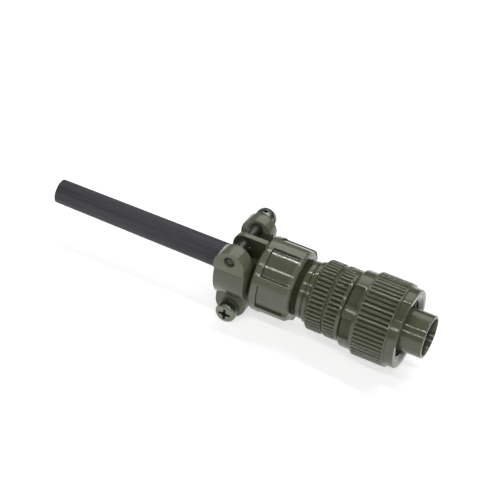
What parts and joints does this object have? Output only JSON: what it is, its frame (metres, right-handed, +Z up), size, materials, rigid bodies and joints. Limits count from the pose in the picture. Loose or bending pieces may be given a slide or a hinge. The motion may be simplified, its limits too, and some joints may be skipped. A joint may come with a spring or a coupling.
{
  "type": "circular connector plug with cable clamp",
  "caption": "Straight circular connector plug with a threaded coupling nut, screwed end bell, two-saddle cable clamp and rubber cable sleeve.",
  "frame": {"origin": "centre of the front rim of the plug's nose", "axes": "+X along the plug's axis, out of the nose towards the mating half; +Z up, towards the upper ear of the cable clamp; the clamp's screws run along Y"},
  "size_m": [0.1056, 0.0238, 0.0236],
  "materials": {
    "shell_paint": "semi-gloss olive drab paint over aluminium",
    "bell_paint": "semi-gloss olive drab paint over aluminium",
    "nut_paint": "semi-gloss olive drab paint over aluminium",
    "clamp_paint": "semi-gloss olive drab paint over cast metal",
    "saddle_paint": "semi-gloss olive drab paint over cast metal",
    "screw_steel": "dark green plated steel",
    "washer_steel": "dark green plated steel",
    "ring_steel": "spring steel",
    "insulator_plastic": "black moulded thermoset",
    "contact_gold": "gold plated",
    "sleeve_rubber": "matt black moulded rubber"
  },
  "bodies": {
    "plug_body": {"plug_shell": "shell_paint", "end_bell": "bell_paint", "clamp_body": "clamp_paint", "nut_wave_washer": "ring_steel", "nut_retaining_ring": "ring_steel", "insert_retaining_ring": "ring_steel", "front_insulator": "insulator_plastic", "rear_insulator": "insulator_plastic", "contact_socket_a": "contact_gold", "contact_socket_b": "contact_gold", "contact_socket_c": "contact_gold", "rubber_sleeve": "sleeve_rubber"},
    "coupling_nut": {"coupling_nut": "nut_paint"},
    "near_saddle": {"near_saddle": "saddle_paint"},
    "far_saddle": {"far_saddle": "saddle_paint"},
    "lower_screw": {"lower_screw": "screw_steel", "lower_flat_washer": "washer_steel", "lower_lock_washer": "washer_steel"},
    "upper_screw": {"upper_screw": "screw_steel", "upper_flat_washer": "washer_steel", "upper_lock_washer": "washer_steel"}
  },
  "joints": [
    {"name": "nut_turn", "type": "hinge", "parent": "plug_body", "child": "coupling_nut", "pos_m": [-0.012, 0, 0], "axis": [1, 0, 0], "continuous": true},
    {"name": "near_saddle_open", "type": "slide", "parent": "plug_body", "child": "near_saddle", "axis": [0, -1, 0], "range_m": [0, 0.0015]},
    {"name": "far_saddle_open", "type": "slide", "parent": "plug_body", "child": "far_saddle", "axis": [0, 1, 0], "range_m": [0, 0.0015]},
    {"name": "lower_screw_turn", "type": "hinge", "parent": "near_saddle", "child": "lower_screw", "pos_m": [-0.0511, 0, -0.009], "axis": [0, -1, 0], "range_deg": [0, 2160]},
    {"name": "upper_screw_turn", "type": "hinge", "parent": "far_saddle", "child": "upper_screw", "pos_m": [-0.0511, 0, 0.009], "axis": [0, 1, 0], "range_deg": [0, 2160]}
  ],
  "couplings": [
    {"joint": "far_saddle_open", "follows": "near_saddle_open", "ratio": 1},
    {"joint": "lower_screw_turn", "follows": "near_saddle_open", "rad_per_m": 25133},
    {"joint": "upper_screw_turn", "follows": "near_saddle_open", "rad_per_m": 25133}
  ]
}
